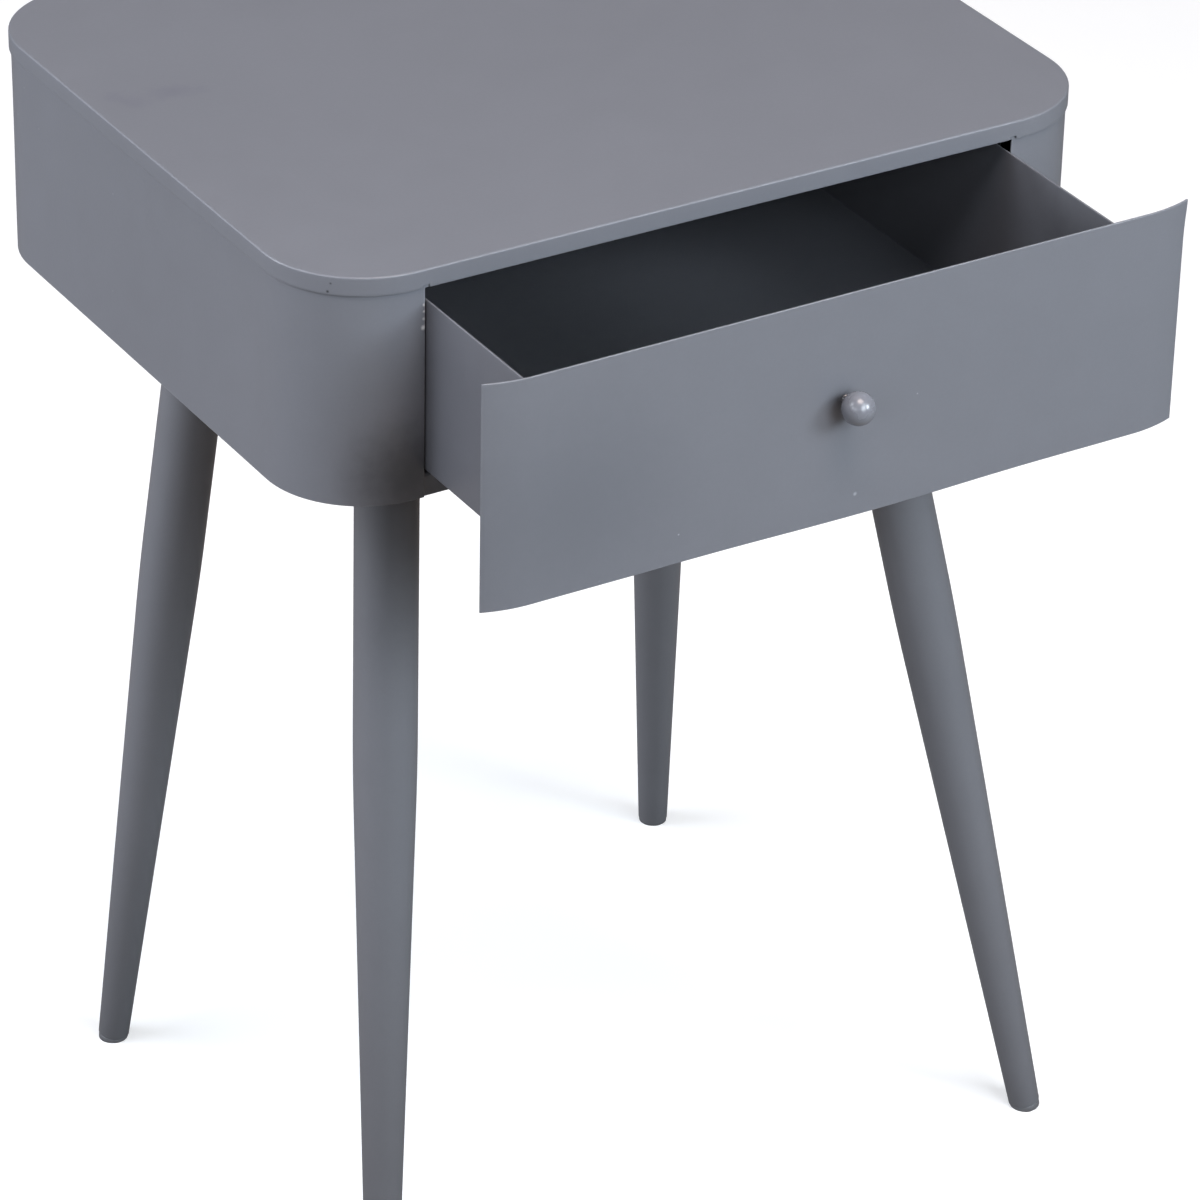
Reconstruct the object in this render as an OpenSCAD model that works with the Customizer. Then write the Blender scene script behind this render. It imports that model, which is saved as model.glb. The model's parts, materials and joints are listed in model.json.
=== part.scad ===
// Side table of painted sheet steel with one drawer on four splayed tapered legs.
// Millimetres. X runs along the front, Y towards the back, Z up. The origin is on the
// floor, half way between the knob of the open drawer and the back feet.

/* [Lid] */
// Width of the lid, side to side
lid_w = 440; // [400:2:520]
// Depth of the lid, front to back
lid_d = 358; // [330:2:420]
// Corner radius of the lid seen from above
corner_r = 52; // [46:1:60]
// Height of the turned-down lip
lip_h = 9.6; // [8:0.2:14]
// Rounding where the lid turns down into its lip
lid_edge_r = 1.6; // [1.2:0.1:2.4]
// Thickness of the lid and case sheet
sheet = 0.9; // [0.7:0.1:1.1]

/* [Case] */
// Height of the case from its lower edge to the top of the lid
case_h = 120; // [116:1:150]
// Height of the bottom pan, whose front shows under the drawer opening
rail_h = 12; // [11:0.5:14]
// Width of the drawer opening
opening_w = 325.4; // [300:0.2:327]
// Relief cut into the lip at each end of the opening, along the lip
relief_w = 4; // [2:0.5:6]
// Relief cut into the lip at each end of the opening, upwards
relief_h = 1.6; // [1:0.1:2.5]

/* [Legs] */
// Height of the case's lower edge above the floor
leg_h = 482; // [380:2:560]
// Outer diameter of the straight upper part of a leg
leg_d = 32; // [28:0.5:34]
// Outer diameter of a leg at the floor
foot_d = 16.4; // [14:0.2:22]
// Share of the leg's length that stays straight before it tapers
straight_share = 0.384; // [0.3:0.01:0.5]
// Wall thickness of a leg
leg_wall = 1.5; // [1.2:0.1:2]
// Distance of each leg's top from the middle, sideways
leg_x = 135; // [125:1:140]
// Distance of each leg's top from the middle, front to back
leg_y = 92.6; // [80:0.2:100]

/* [Leg splay] */
// How far the front left foot stands out sideways from its top
fl_side = 42.4; // [20:0.2:90]
// How far the front left foot stands forward of its top
fl_fore = 70.8; // [20:0.2:90]
// How far the front right foot stands out sideways from its top
fr_side = 81.2; // [20:0.2:90]
// How far the front right foot stands forward of its top
fr_fore = 76.8; // [20:0.2:90]
// How far the back left foot stands out sideways from its top
bl_side = 47.5; // [20:0.2:90]
// How far the back left foot stands back from its top
bl_fore = 37; // [20:0.2:90]
// How far the back right foot stands out sideways from its top
br_side = 55.4; // [20:0.2:90]
// How far the back right foot stands back from its top
br_fore = 81.8; // [20:0.2:90]

/* [Drawer] */
// How far the drawer stands open
open_by = 104.8; // [0:0.2:239]
// Thickness of the drawer's sheets
drawer_sheet = 1; // [0.8:0.1:1.2]
// Outer depth of the drawer box
box_d = 329.5; // [300:0.5:340]
// Outer height of the drawer box
box_h = 89.8; // [80:0.2:92]
// Overall width of the bowed drawer front
front_w = 383; // [370:1:390]
// Height of the drawer front
front_h = 117.2; // [112:0.2:119]
// How far the drawer front hangs below the case
front_drop = 2; // [0:0.5:4]
// Radius of the bend at each end of the drawer front
front_bend_r = 71; // [60:1:90]
// Longest way that the drawer slides from shut to its stop
travel = 240; // [180:5:250]

/* [Knob] */
// Diameter of the ball
ball_d = 16.3; // [12:0.1:22]
// Gap between the ball and the drawer front, bridged by its neck
neck_gap = 2.3; // [1.5:0.1:6]
// Height of the knob above the case's lower edge
knob_z = 60.2; // [40:0.2:80]

/* [Hidden] */
$fn = 96;
eps = 0.01;
fit_gap = 0.05;
cut_over = 2;

case_w = lid_w - 2 * sheet - 0.2;
case_d = lid_d - 2 * sheet - 0.2;
case_r = corner_r - sheet - 0.1;
case_top = leg_h + case_h;
lip_low = case_top - lip_h;
lid_under = case_top - sheet;
case_front_y = -case_d / 2;

pan_top = leg_h + rail_h;
pan_sheet = 1.2;
pan_under = pan_top - pan_sheet;
pan_gap = 0.1;
pan_w = case_w - 2 * sheet - 2 * pan_gap;
pan_d = case_d - 2 * sheet - 2 * pan_gap;
pan_r = case_r - sheet - pan_gap;

opening_top = lip_low - 0.4;
box_w = opening_w - 1.4;
box_low = pan_top + 1.7;
box_top = box_low + box_h;

guide_sheet = 1.2;
guide_gap = 0.5;
guide_low_flange = 14;
guide_top_flange = 8;
guide_front_y = case_front_y + sheet + 1;
guide_back_y = case_d / 2 - sheet - 4;
guide_inner_x = opening_w / 2;
guide_top = box_top + guide_gap + guide_sheet;

front_gap = 0.4;
reach_front = lid_d / 2 + front_gap + open_by + drawer_sheet + neck_gap + ball_d;
reach_back = max(lid_d / 2, leg_y + max(bl_fore, br_fore) + foot_d / 2);
case_y = (reach_front - reach_back) / 2;
front_in_y = -lid_d / 2 - front_gap - open_by;
front_out_y = front_in_y - drawer_sheet;
front_low = leg_h - front_drop;
front_flat_x = lid_w / 2 - corner_r - 1;
box_back_y = front_in_y + box_d;

stop_w = 50;
stop_h = 13;
stop_flange = 18;
stop_sheet = 1;
stop_gap = 0.4;
stop_back_y = box_back_y + open_by - drawer_sheet - travel - stop_gap;
tab_w = 30;
tab_h = box_top + 6.5;

leg_up = 3;
glide_show = 2.6;
glide_in = 9;
glide_round = 1.4;
plug_l = 10;
plug_sink = 1;
stud_d = 8;
stud_in_seat = 6;
stud_in_leg = 7;
seat_neck_d = 30;
seat_flange_d = 48;
seat_flange_h = 2;
rivet_ring_r = 20;
rivet_d = 4;
rivet_head_d = 7;
rivet_head_h = 1.3;
rivet_angles = [60, 180, 300];

knob_y = front_out_y - neck_gap - ball_d / 2;
neck_d = 7;
neck_foot_d = 9;
neck_foot_h = 0.8;
screw_d = 4;
screw_reach = 7;
screw_head_d = 8;
screw_head_h = 2.6;
screw_slot_w = 1.2;
screw_slot_h = 1.1;

paint = [0.50, 0.51, 0.54];
dark_paint = [0.33, 0.34, 0.37];
zinc = [0.66, 0.67, 0.69];
plastic = [0.40, 0.41, 0.43];

// Moves a part from the middle of the case to its place behind the origin.
module in_place() {
  translate([0, case_y, 0]) children();
}

// Outline of a plate with round corners, seen from above.
module round_plate(w, d, r) {
  union() {
    square([w - 2 * r, d], center = true);
    square([w, d - 2 * r], center = true);
    for (x = [-1, 1])
      for (y = [-1, 1])
        translate([x * (w / 2 - r), y * (d / 2 - r)]) circle(r);
  }
}

// Quarter of a disc, the profile of a rounded edge.
module quarter_disc(edge) {
  intersection() {
    circle(edge, $fn = 64);
    square(edge);
  }
}

// Solid plate whose upper edge is rounded all the way round.
module soft_edged_plate(w, d, r, h, edge) {
  linear_extrude(h - edge) round_plate(w, d, r);
  linear_extrude(h) round_plate(w - 2 * edge, d - 2 * edge, r - edge);
  translate([0, 0, h - edge]) {
    for (x = [0, 1])
      mirror([x, 0, 0])
        translate([w / 2 - edge, d / 2 - r, 0])
          rotate([90, 0, 0]) linear_extrude(d - 2 * r) quarter_disc(edge);
    for (y = [0, 1])
      mirror([0, y, 0])
        translate([-w / 2 + r, d / 2 - edge, 0])
          rotate([90, 0, 90]) linear_extrude(w - 2 * r) quarter_disc(edge);
    for (x = [0, 1])
      for (y = [0, 1])
        mirror([x, 0, 0])
          mirror([0, y, 0])
            translate([w / 2 - r, d / 2 - r, 0])
              rotate_extrude(angle = 90) translate([r - edge, 0]) quarter_disc(edge);
  }
}

module lid() {
  relief_x = opening_w / 2;
  in_place() color(paint)
    difference() {
      translate([0, 0, lip_low])
        soft_edged_plate(lid_w, lid_d, corner_r, lip_h, lid_edge_r);
      translate([0, 0, lip_low - cut_over])
        linear_extrude(lip_h + cut_over - sheet)
          round_plate(lid_w - 2 * sheet, lid_d - 2 * sheet, corner_r - sheet);
      for (x = [-1, 1])
        translate([x * relief_x - relief_w / 2, -lid_d / 2 - 1, lip_low - 1])
          cube([relief_w, sheet + 2, relief_h + 1]);
    }
}

module case_wrap() {
  in_place() color(paint)
    difference() {
      translate([0, 0, leg_h])
        linear_extrude(lid_under - leg_h - fit_gap)
          difference() {
            round_plate(case_w, case_d, case_r);
            round_plate(case_w - 2 * sheet, case_d - 2 * sheet, case_r - sheet);
          }
      translate([-opening_w / 2, case_front_y - 1, leg_h - cut_over])
        cube([opening_w, sheet + 2, opening_top - leg_h + cut_over]);
    }
}

// Places its children at the four corners: X side, Y side, sideways and fore-aft splay.
module on_axis(side, fore, xs, ys) {
  lean = atan2(norm([side, fore]), leg_h);
  heading = atan2(ys * fore, xs * side);
  translate([xs * leg_x, ys * leg_y, leg_h])
    rotate([0, 180 - lean, heading]) children();
}

module bottom_pan() {
  in_place() color(dark_paint)
    difference() {
      translate([0, 0, leg_h])
        linear_extrude(rail_h) round_plate(pan_w, pan_d, pan_r);
      translate([0, 0, leg_h - cut_over])
        linear_extrude(rail_h - pan_sheet + cut_over)
          round_plate(pan_w - 2 * pan_sheet, pan_d - 2 * pan_sheet, pan_r - pan_sheet);
      for (x = [-1, 1])
        for (y = [-1, 1])
          rivet_places(x, y)
            translate([0, 0, pan_under - 1])
              cylinder(h = pan_sheet + 2, d = rivet_d + 0.1);
    }
}

// Repeats its children where the rivets of one leg seat stand.
module rivet_places(xs, ys) {
  for (a = rivet_angles)
    translate([
      xs * (leg_x + rivet_ring_r * cos(a)),
      ys * leg_y + rivet_ring_r * sin(a),
      0
    ]) children();
}

// Wedge that carries a leg: a flange against the pan and a neck square to the leg.
module leg_seat(side, fore, xs, ys) {
  in_place() color(zinc)
    difference() {
      union() {
        translate([xs * leg_x, ys * leg_y, pan_under - seat_flange_h])
          cylinder(h = seat_flange_h, d = seat_flange_d);
        intersection() {
          on_axis(side, fore, xs, ys)
            translate([0, 0, -leg_up - 40])
              cylinder(h = 40 - fit_gap, d = seat_neck_d);
          translate([xs * leg_x, ys * leg_y, pan_under - 15])
            cylinder(h = 15, d = seat_flange_d - 2);
        }
      }
      on_axis(side, fore, xs, ys)
        translate([0, 0, -leg_up - stud_in_seat])
          cylinder(h = stud_in_seat + 1, d = stud_d + 0.1);
      rivet_places(xs, ys)
        translate([0, 0, pan_under - 16])
          cylinder(h = 20, d = rivet_d + 0.1);
    }
}

module leg_seat_front_left() {
  leg_seat(fl_side, fl_fore, -1, -1);
}

module leg_seat_front_right() {
  leg_seat(fr_side, fr_fore, 1, -1);
}

module leg_seat_back_left() {
  leg_seat(bl_side, bl_fore, -1, 1);
}

module leg_seat_back_right() {
  leg_seat(br_side, br_fore, 1, 1);
}

module seat_rivets() {
  in_place() color(zinc)
    for (x = [-1, 1])
      for (y = [-1, 1])
        rivet_places(x, y)
          translate([0, 0, pan_under - seat_flange_h - rivet_head_h]) {
            cylinder(h = rivet_head_h, d1 = rivet_head_d - 2, d2 = rivet_head_d);
            cylinder(h = rivet_head_h + seat_flange_h + pan_sheet, d = rivet_d);
          }
}

module stud(side, fore, xs, ys) {
  on_axis(side, fore, xs, ys)
    translate([0, 0, -leg_up - stud_in_seat + fit_gap])
      cylinder(h = stud_in_seat + stud_in_leg, d = stud_d);
}

module leg_studs() {
  in_place() color(zinc) {
    stud(fl_side, fl_fore, -1, -1);
    stud(fr_side, fr_fore, 1, -1);
    stud(bl_side, bl_fore, -1, 1);
    stud(br_side, br_fore, 1, 1);
  }
}

function leg_len(side, fore) = norm([side, fore, leg_h]);

// One leg: a straight tube that tapers to the foot, open at both ends.
module leg(side, fore, xs, ys) {
  len = leg_len(side, fore);
  taper_from = len * straight_share;
  tube_end = len - glide_show;
  slope = (leg_d - foot_d) / (len - taper_from);
  end_d = foot_d + slope * glide_show;
  bore_d = leg_d - 2 * leg_wall;
  in_place() color(paint)
    on_axis(side, fore, xs, ys)
      difference() {
        union() {
          translate([0, 0, -leg_up]) cylinder(h = leg_up + taper_from, d = leg_d);
          translate([0, 0, taper_from])
            cylinder(h = tube_end - taper_from, d1 = leg_d, d2 = end_d);
        }
        translate([0, 0, -leg_up - 1]) cylinder(h = leg_up + 1 + taper_from, d = bore_d);
        translate([0, 0, taper_from - eps])
          cylinder(
            h = tube_end - taper_from - glide_in + eps,
            d1 = bore_d,
            d2 = end_d - 2 * leg_wall + slope * glide_in
          );
        translate([0, 0, tube_end - glide_in - eps])
          cylinder(h = glide_in + 1, d = end_d - 2 * leg_wall);
      }
}

module leg_front_left() {
  leg(fl_side, fl_fore, -1, -1);
}

module leg_front_right() {
  leg(fr_side, fr_fore, 1, -1);
}

module leg_back_left() {
  leg(bl_side, bl_fore, -1, 1);
}

module leg_back_right() {
  leg(br_side, br_fore, 1, 1);
}

// Threaded plug pressed into the top of a leg.
module leg_plug(side, fore, xs, ys) {
  in_place() color(zinc)
    on_axis(side, fore, xs, ys)
      translate([0, 0, -leg_up + plug_sink])
        difference() {
          cylinder(h = plug_l, d = leg_d - 2 * leg_wall - 2 * fit_gap);
          translate([0, 0, -1]) cylinder(h = plug_l + 2, d = stud_d + 0.1);
        }
}

module leg_plug_front_left() {
  leg_plug(fl_side, fl_fore, -1, -1);
}

module leg_plug_front_right() {
  leg_plug(fr_side, fr_fore, 1, -1);
}

module leg_plug_back_left() {
  leg_plug(bl_side, bl_fore, -1, 1);
}

module leg_plug_back_right() {
  leg_plug(br_side, br_fore, 1, 1);
}

// Plastic plug in the foot, with a low rounded rim worn flat by the floor.
module foot_glide(side, fore, xs, ys) {
  len = leg_len(side, fore);
  tube_end = len - glide_show;
  taper_from = len * straight_share;
  slope = (leg_d - foot_d) / (len - taper_from);
  end_d = foot_d + slope * glide_show;
  stem_d = end_d - 2 * leg_wall - 2 * fit_gap;
  rim_r = foot_d / 2 - 0.3;
  rim_h = glide_show + rim_r * norm([side, fore]) / len;
  in_place() color(plastic)
    intersection() {
      on_axis(side, fore, xs, ys)
        union() {
          translate([0, 0, tube_end - glide_in + 1]) cylinder(h = glide_in, d = stem_d);
          translate([0, 0, tube_end + fit_gap]) {
            cylinder(h = rim_h - glide_round, r = rim_r);
            cylinder(h = rim_h, r = rim_r - glide_round);
            translate([0, 0, rim_h - glide_round])
              rotate_extrude() translate([rim_r - glide_round, 0]) circle(glide_round, $fn = 32);
          }
        }
      translate([xs * (leg_x + side), ys * (leg_y + fore), 0])
        cylinder(h = 30, r = 30);
    }
}

module foot_glide_front_left() {
  foot_glide(fl_side, fl_fore, -1, -1);
}

module foot_glide_front_right() {
  foot_glide(fr_side, fr_fore, 1, -1);
}

module foot_glide_back_left() {
  foot_glide(bl_side, bl_fore, -1, 1);
}

module foot_glide_back_right() {
  foot_glide(br_side, br_fore, 1, 1);
}

// Channel that carries the drawer's lower edge and holds its upper edge down.
module drawer_guide(xs) {
  run = guide_back_y - guide_front_y;
  in_place() color(dark_paint)
    mirror([xs < 0 ? 1 : 0, 0, 0])
      translate([guide_inner_x, guide_front_y, pan_top]) {
        translate([0, 0, fit_gap])
          cube([guide_sheet, run, guide_top - pan_top - fit_gap]);
        translate([guide_sheet - guide_low_flange, 0, fit_gap])
          cube([guide_low_flange, run, guide_sheet - fit_gap]);
        translate([guide_sheet - guide_top_flange, 0, guide_top - pan_top - guide_sheet])
          cube([guide_top_flange, run, guide_sheet]);
      }
}

module drawer_guide_left() {
  drawer_guide(-1);
}

module drawer_guide_right() {
  drawer_guide(1);
}

// Angle under the lid that the drawer's back tab runs into when fully open.
module drawer_stop() {
  in_place() color(dark_paint)
    translate([-stop_w / 2, stop_back_y, lid_under - fit_gap]) {
      translate([0, -stop_sheet, -stop_h]) cube([stop_w, stop_sheet, stop_h]);
      translate([0, -stop_flange, -stop_sheet]) cube([stop_w, stop_flange, stop_sheet]);
    }
}

// One bent end of the front, seen from above with the flat part's inner face on Y = 0.
module front_end(t) {
  translate([front_flat_x, front_bend_r - t])
    intersection() {
      difference() {
        circle(front_bend_r, $fn = 360);
        circle(front_bend_r - t, $fn = 360);
      }
      translate([0, -front_bend_r])
        square([front_w / 2 - front_flat_x, front_bend_r / 2]);
    }
}

module drawer_front() {
  in_place() color(paint)
    difference() {
      translate([0, front_in_y, front_low])
        linear_extrude(front_h)
          union() {
            translate([-front_flat_x, -drawer_sheet])
              square([2 * front_flat_x, drawer_sheet]);
            front_end(drawer_sheet);
            mirror([1, 0]) front_end(drawer_sheet);
          }
      translate([0, front_in_y + 1, leg_h + knob_z])
        rotate([90, 0, 0]) cylinder(h = drawer_sheet + 2, d = screw_d + 0.2);
    }
}

module drawer_tray() {
  depth = box_d - fit_gap;
  in_place() color(dark_paint)
    translate([0, front_in_y + fit_gap, box_low])
      difference() {
        translate([-box_w / 2, 0, 0]) cube([box_w, depth, box_h]);
        translate([-box_w / 2 + drawer_sheet, -1, drawer_sheet])
          cube([box_w - 2 * drawer_sheet, depth + 2, box_h]);
      }
}

module drawer_inner_front() {
  inner_w = box_w - 2 * drawer_sheet - 2 * fit_gap;
  in_place() color(dark_paint)
    difference() {
      translate([-inner_w / 2, front_in_y + fit_gap, box_low + drawer_sheet + fit_gap])
        cube([inner_w, drawer_sheet, box_h - drawer_sheet - fit_gap]);
      translate([0, front_in_y + drawer_sheet + 1, leg_h + knob_z])
        rotate([90, 0, 0]) cylinder(h = drawer_sheet + 2, d = screw_d + 0.2);
    }
}

module drawer_back() {
  inner_w = box_w - 2 * drawer_sheet - 2 * fit_gap;
  low = box_low + drawer_sheet + fit_gap;
  in_place() color(dark_paint)
    translate([0, box_back_y - drawer_sheet, low]) {
      translate([-inner_w / 2, 0, 0]) cube([inner_w, drawer_sheet, box_top - low]);
      translate([-tab_w / 2, 0, 0]) cube([tab_w, drawer_sheet, tab_h - low]);
    }
}

module knob() {
  ball_r = ball_d / 2;
  reach = ball_r + neck_gap;
  in_place() color(paint)
    translate([0, knob_y, leg_h + knob_z])
      rotate([-90, 0, 0])
        difference() {
          union() {
            sphere(ball_r);
            cylinder(h = reach - fit_gap, d = neck_d);
            translate([0, 0, reach - neck_foot_h])
              cylinder(h = neck_foot_h - fit_gap, d = neck_foot_d);
          }
          translate([0, 0, reach - screw_reach + 1])
            cylinder(h = screw_reach, d = screw_d + 0.1);
        }
}

module knob_screw() {
  seat_y = front_in_y + drawer_sheet + 2 * fit_gap;
  in_place() color(zinc)
    translate([0, seat_y, leg_h + knob_z])
      rotate([90, 0, 0])
        difference() {
          union() {
            cylinder(h = screw_reach, d = screw_d);
            translate([0, 0, -screw_head_h]) cylinder(h = screw_head_h, d = screw_head_d);
          }
          translate([0, 0, -screw_head_h])
            cube([screw_head_d + 1, screw_slot_w, 2 * screw_slot_h], center = true);
        }
}

lid();
case_wrap();
bottom_pan();
leg_seat_front_left();
leg_seat_front_right();
leg_seat_back_left();
leg_seat_back_right();
seat_rivets();
leg_studs();
leg_front_left();
leg_front_right();
leg_back_left();
leg_back_right();
leg_plug_front_left();
leg_plug_front_right();
leg_plug_back_left();
leg_plug_back_right();
foot_glide_front_left();
foot_glide_front_right();
foot_glide_back_left();
foot_glide_back_right();
drawer_guide_left();
drawer_guide_right();
drawer_stop();
drawer_front();
drawer_tray();
drawer_inner_front();
drawer_back();
knob();
knob_screw();
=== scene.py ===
import json
import math
import bpy
import numpy as np
from mathutils import Matrix, Vector


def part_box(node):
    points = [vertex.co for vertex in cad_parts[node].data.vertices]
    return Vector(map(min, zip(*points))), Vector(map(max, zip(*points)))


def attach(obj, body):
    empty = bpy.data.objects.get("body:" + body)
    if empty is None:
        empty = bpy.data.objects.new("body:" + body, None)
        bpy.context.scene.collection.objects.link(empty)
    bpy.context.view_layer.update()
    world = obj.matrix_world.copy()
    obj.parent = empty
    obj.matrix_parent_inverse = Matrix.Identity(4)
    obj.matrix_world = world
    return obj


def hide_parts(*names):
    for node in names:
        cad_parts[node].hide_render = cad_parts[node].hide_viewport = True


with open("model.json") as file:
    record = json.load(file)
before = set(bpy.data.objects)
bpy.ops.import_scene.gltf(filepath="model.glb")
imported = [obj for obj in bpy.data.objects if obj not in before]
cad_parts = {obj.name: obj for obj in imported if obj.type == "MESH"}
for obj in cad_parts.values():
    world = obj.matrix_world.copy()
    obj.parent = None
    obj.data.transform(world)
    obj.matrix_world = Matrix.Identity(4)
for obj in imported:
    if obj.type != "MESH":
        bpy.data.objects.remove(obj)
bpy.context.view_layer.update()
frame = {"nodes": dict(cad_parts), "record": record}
record = frame["record"]
print("frame loaded:", len(frame["nodes"]), "nodes")

mm = 0.001
rimStep = 0.8 * mm  # first row in from a cut edge
tiny = 1e-6


def roundPath(half, radius, arcSteps, frontStops, sideSteps):
    # rounded rectangle seen from above, anticlockwise from the left end of the front:
    # straight runs joined by quarter circles, each point with its outward normal
    hx, hy = half
    turn = np.linspace(0, np.pi / 2, arcSteps + 1)[1:-1]
    run = np.linspace(-1, 1, sideSteps)
    ex, ey = hx - radius, hy - radius
    front = np.asarray(frontStops, float)
    pieces = [
        (front, np.full_like(front, -hy), 0 * front, 0 * front - 1),
        (ex + radius * np.sin(turn), -ey - radius * np.cos(turn), np.sin(turn), -np.cos(turn)),
        (np.full_like(run, hx), run * ey, 0 * run + 1, 0 * run),
        (ex + radius * np.cos(turn), ey + radius * np.sin(turn), np.cos(turn), np.sin(turn)),
        (-run * ex, np.full_like(run, hy), 0 * run, 0 * run + 1),
        (-ex - radius * np.sin(turn), ey + radius * np.cos(turn), -np.sin(turn), np.cos(turn)),
        (np.full_like(run, -hx), -run * ey, 0 * run - 1, 0 * run),
        (-ex - radius * np.cos(turn), -ey - radius * np.sin(turn), -np.cos(turn), -np.sin(turn)),
    ]
    px, py, nx, ny = (np.concatenate(part) for part in zip(*pieces))
    return np.stack([px, py], 1), np.stack([nx, ny], 1)


def easedStops(start, end, steps, close):
    # stops from start to end with two close ones beside each end, so that rims stay crisp
    inner = np.linspace(start, end, steps + 1)[1:-1]
    near = np.array([close, 3 * close])
    return np.concatenate([[start], start + near, inner, end - near[::-1], [end]])


def roundedProfile(corners, bend, arcSteps=6, runSteps=3):
    # polyline whose inner corners become arcs: each corner is replaced by points on the
    # circle of the bend radius that touches both of its runs
    pts = np.asarray(corners, float)
    out = [pts[0]]
    for before, here, after in zip(pts[:-2], pts[1:-1], pts[2:]):
        a = (before - here) / np.linalg.norm(before - here)
        b = (after - here) / np.linalg.norm(after - here)
        opening = math.acos(float(np.clip(a @ b, -1, 1)))
        reach = bend / math.tan(opening / 2)
        centre = here + (a + b) / np.linalg.norm(a + b) * bend / math.sin(opening / 2)
        first, last = here + a * reach - centre, here + b * reach - centre
        sweep = math.pi - opening
        t = np.linspace(0, 1, arcSteps + 1)[:, None]
        arc = (np.sin((1 - t) * sweep) * first + np.sin(t * sweep) * last) / math.sin(sweep)
        run = np.linspace(0, 1, runSteps + 1)[1:-1, None]
        out += list(out[-1] + (centre + first - out[-1]) * run) + list(centre + arc)
    run = np.linspace(0, 1, runSteps + 1)[1:, None]
    out += list(out[-1] + (pts[-1] - out[-1]) * run)
    return np.array(out)


def edgeDistance(points, faces):
    # distance from each point to the nearest cut edge: the least over all rim segments ab
    # of |p - a - t(b - a)|, where t = (p - a).(b - a) / |b - a|^2 is held between 0 and 1
    sides = np.concatenate([np.stack([f, np.roll(f, -1, 1)], -1).reshape(-1, 2) for f in faces])
    sides = np.sort(sides, 1)
    unique, count = np.unique(sides[:, 0] * len(points) + sides[:, 1], return_counts=True)
    rim = unique[count == 1]
    if not len(rim):
        return np.ones(len(points))
    a, b = points[rim // len(points)], points[rim % len(points)]
    run = b - a
    reach = np.maximum((run ** 2).sum(1), 1e-12)
    nearest = np.full(len(points), 1.0)
    for start in range(0, len(points), 2000):
        p = points[start:start + 2000, None, :]
        t = np.clip(((p - a) * run).sum(-1) / reach, 0, 1)
        gap = np.linalg.norm(p - a - t[..., None] * run, axis=-1)
        nearest[start:start + 2000] = gap.min(1)
    return nearest


def meshFromGrid(name, grid, closedU=False, keep=None, poles=(False, False)):
    # quads between neighbours of a grid of points; a pole closes the first or last column
    nu, nv = grid.shape[:2]
    index = np.arange(nu * nv).reshape(nu, nv)
    nextU = np.roll(index, -1, 0) if closedU else index[1:]
    thisU = index if closedU else index[:-1]
    cells = np.stack([thisU[:, :-1], nextU[:, :-1], nextU[:, 1:], thisU[:, 1:]], -1)
    if keep is not None:
        cells = cells[keep]
    quads = cells.reshape(-1, 4)
    points = grid.reshape(-1, 3)
    faces = [quads]
    for wanted, column, turnRound in ((poles[0], 0, False), (poles[1], nv - 1, True)):
        if wanted:
            ring = index[:, column]
            centre = len(points)
            points = np.vstack([points, grid[:, column].mean(0)])
            tris = np.stack([ring, np.full_like(ring, centre), np.roll(ring, -1)], 1)
            faces.append(tris[:, ::-1] if turnRound else tris)
    used = np.unique(np.concatenate([f.ravel() for f in faces]))
    renumber = np.zeros(len(points), int)
    renumber[used] = np.arange(len(used))
    points, faces = points[used], [renumber[f] for f in faces]
    mesh = bpy.data.meshes.new(name)
    mesh.from_pydata(points.tolist(), [], [f for block in faces for f in block.tolist()])
    near = mesh.attributes.new("edgeNear", "FLOAT", "POINT")
    near.data.foreach_set("value", edgeDistance(points, faces).astype(np.float32))
    piece = bpy.data.objects.new(name, mesh)
    bpy.context.scene.collection.objects.link(piece)
    mesh.polygons.foreach_set("use_smooth", np.ones(len(mesh.polygons), bool))
    return piece


def thicken(piece, thick, rim, side=-1, innerSlot=0):
    # gives a sheet its gauge and rounds its cut edges
    wall = piece.modifiers.new("gauge", "SOLIDIFY")
    wall.thickness = thick
    wall.offset = side
    wall.use_even_offset = False
    wall.material_offset = innerSlot
    edge = piece.modifiers.new("cutEdge", "BEVEL")
    edge.width = rim
    edge.segments = 3
    edge.limit_method = "ANGLE"
    edge.angle_limit = math.radians(50)
    return piece


def turned(name, foot, axis, radii, along, steps):
    # turned piece: the radius at each distance along the axis, spun round it
    axis = np.asarray(axis, float) / np.linalg.norm(axis)
    side = np.cross(axis, [0, 1.0, 0])
    side /= np.linalg.norm(side)
    other = np.cross(axis, side)
    turn = np.linspace(0, 2 * np.pi, steps, endpoint=False)
    ring = np.cos(turn)[:, None] * side + np.sin(turn)[:, None] * other
    grid = (
        np.asarray(foot, float)
        + ring[:, None, :] * np.asarray(radii)[None, :, None]
        + axis * np.asarray(along)[None, :, None]
    )
    return meshFromGrid(name, grid, closedU=True, poles=(True, True))


def ripple(a, b, waves):
    # slow waves of hand-bent sheet: a sum of sines, each with its own length and direction
    total = 0 * a
    for height, lengthA, lengthB, phase in waves:
        total = total + height * np.sin(2 * np.pi * (a / lengthA + b / lengthB) + phase)
    return total


def socket(tree, name, kind, way, value=None):
    made = tree.interface.new_socket(name=name, in_out=way, socket_type=kind)
    if value is not None:
        made.default_value = value
    return made


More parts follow.
